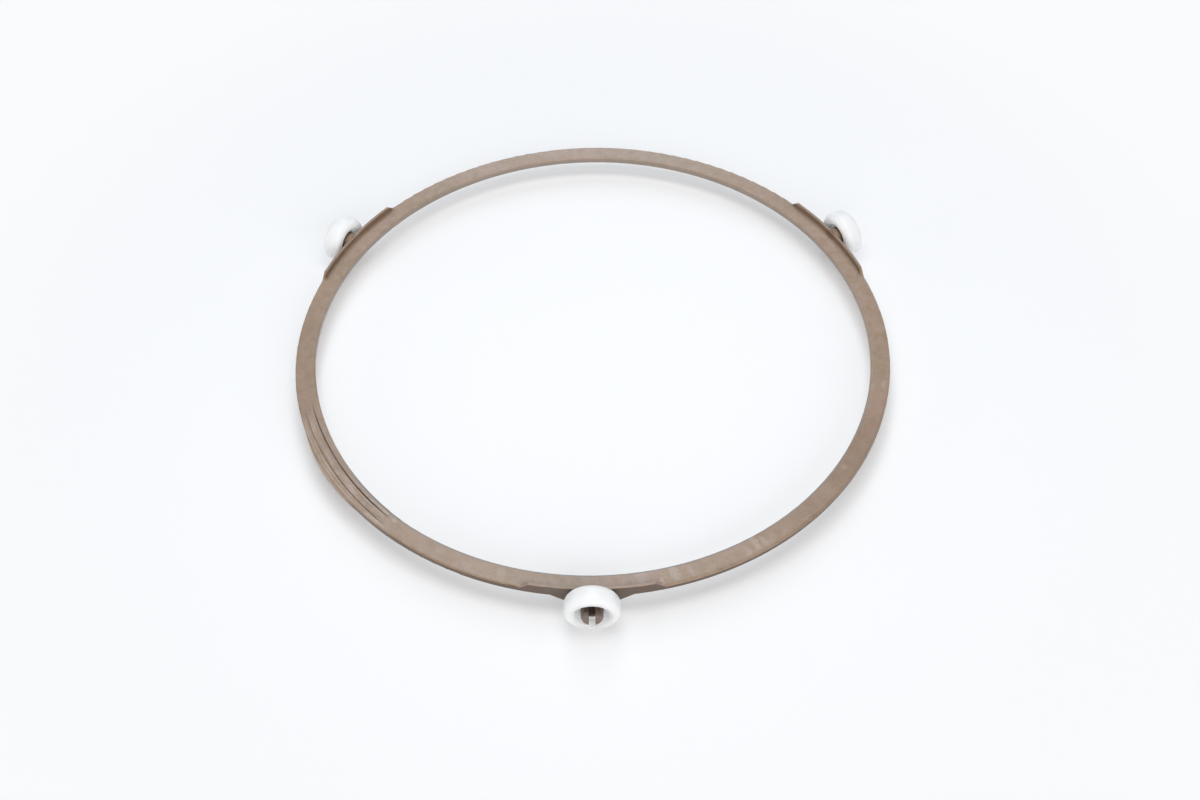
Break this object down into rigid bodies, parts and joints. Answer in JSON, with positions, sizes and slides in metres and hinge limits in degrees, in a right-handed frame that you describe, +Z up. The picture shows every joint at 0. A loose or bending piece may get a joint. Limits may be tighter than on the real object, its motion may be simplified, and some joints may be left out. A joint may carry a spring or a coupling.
{
  "type": "microwave roller ring",
  "caption": "Moulded turntable support ring with a flat strip, raised lips and split snap studs that carry free-running rollers under a glass tray.",
  "frame": {"origin": "on the ring's axis, in the plane on which the rollers stand", "axes": "+Z up along the ring's axis, -Y from the axis towards the front roller, +X towards the right roller's side"},
  "size_m": [0.1904, 0.1984, 0.016],
  "materials": {
    "ring_plastic": "matte moulded tan plastic with scuffs",
    "roller_plastic": "smooth white plastic"
  },
  "bodies": {
    "ring": {"ring": "ring_plastic"},
    "front_roller": {"front_roller": "roller_plastic"},
    "right_roller": {"right_roller": "roller_plastic"},
    "left_roller": {"left_roller": "roller_plastic"}
  },
  "joints": [
    {"name": "front_roller_spin", "type": "hinge", "parent": "ring", "child": "front_roller", "pos_m": [0, -0.09925, 0.008], "axis": [0, -1, 0], "continuous": true},
    {"name": "right_roller_spin", "type": "hinge", "parent": "ring", "child": "right_roller", "pos_m": [0.08595, 0.04963, 0.008], "axis": [0.866, 0.5, 0], "continuous": true},
    {"name": "left_roller_spin", "type": "hinge", "parent": "ring", "child": "left_roller", "pos_m": [-0.08595, 0.04963, 0.008], "axis": [-0.866, 0.5, 0], "continuous": true}
  ]
}
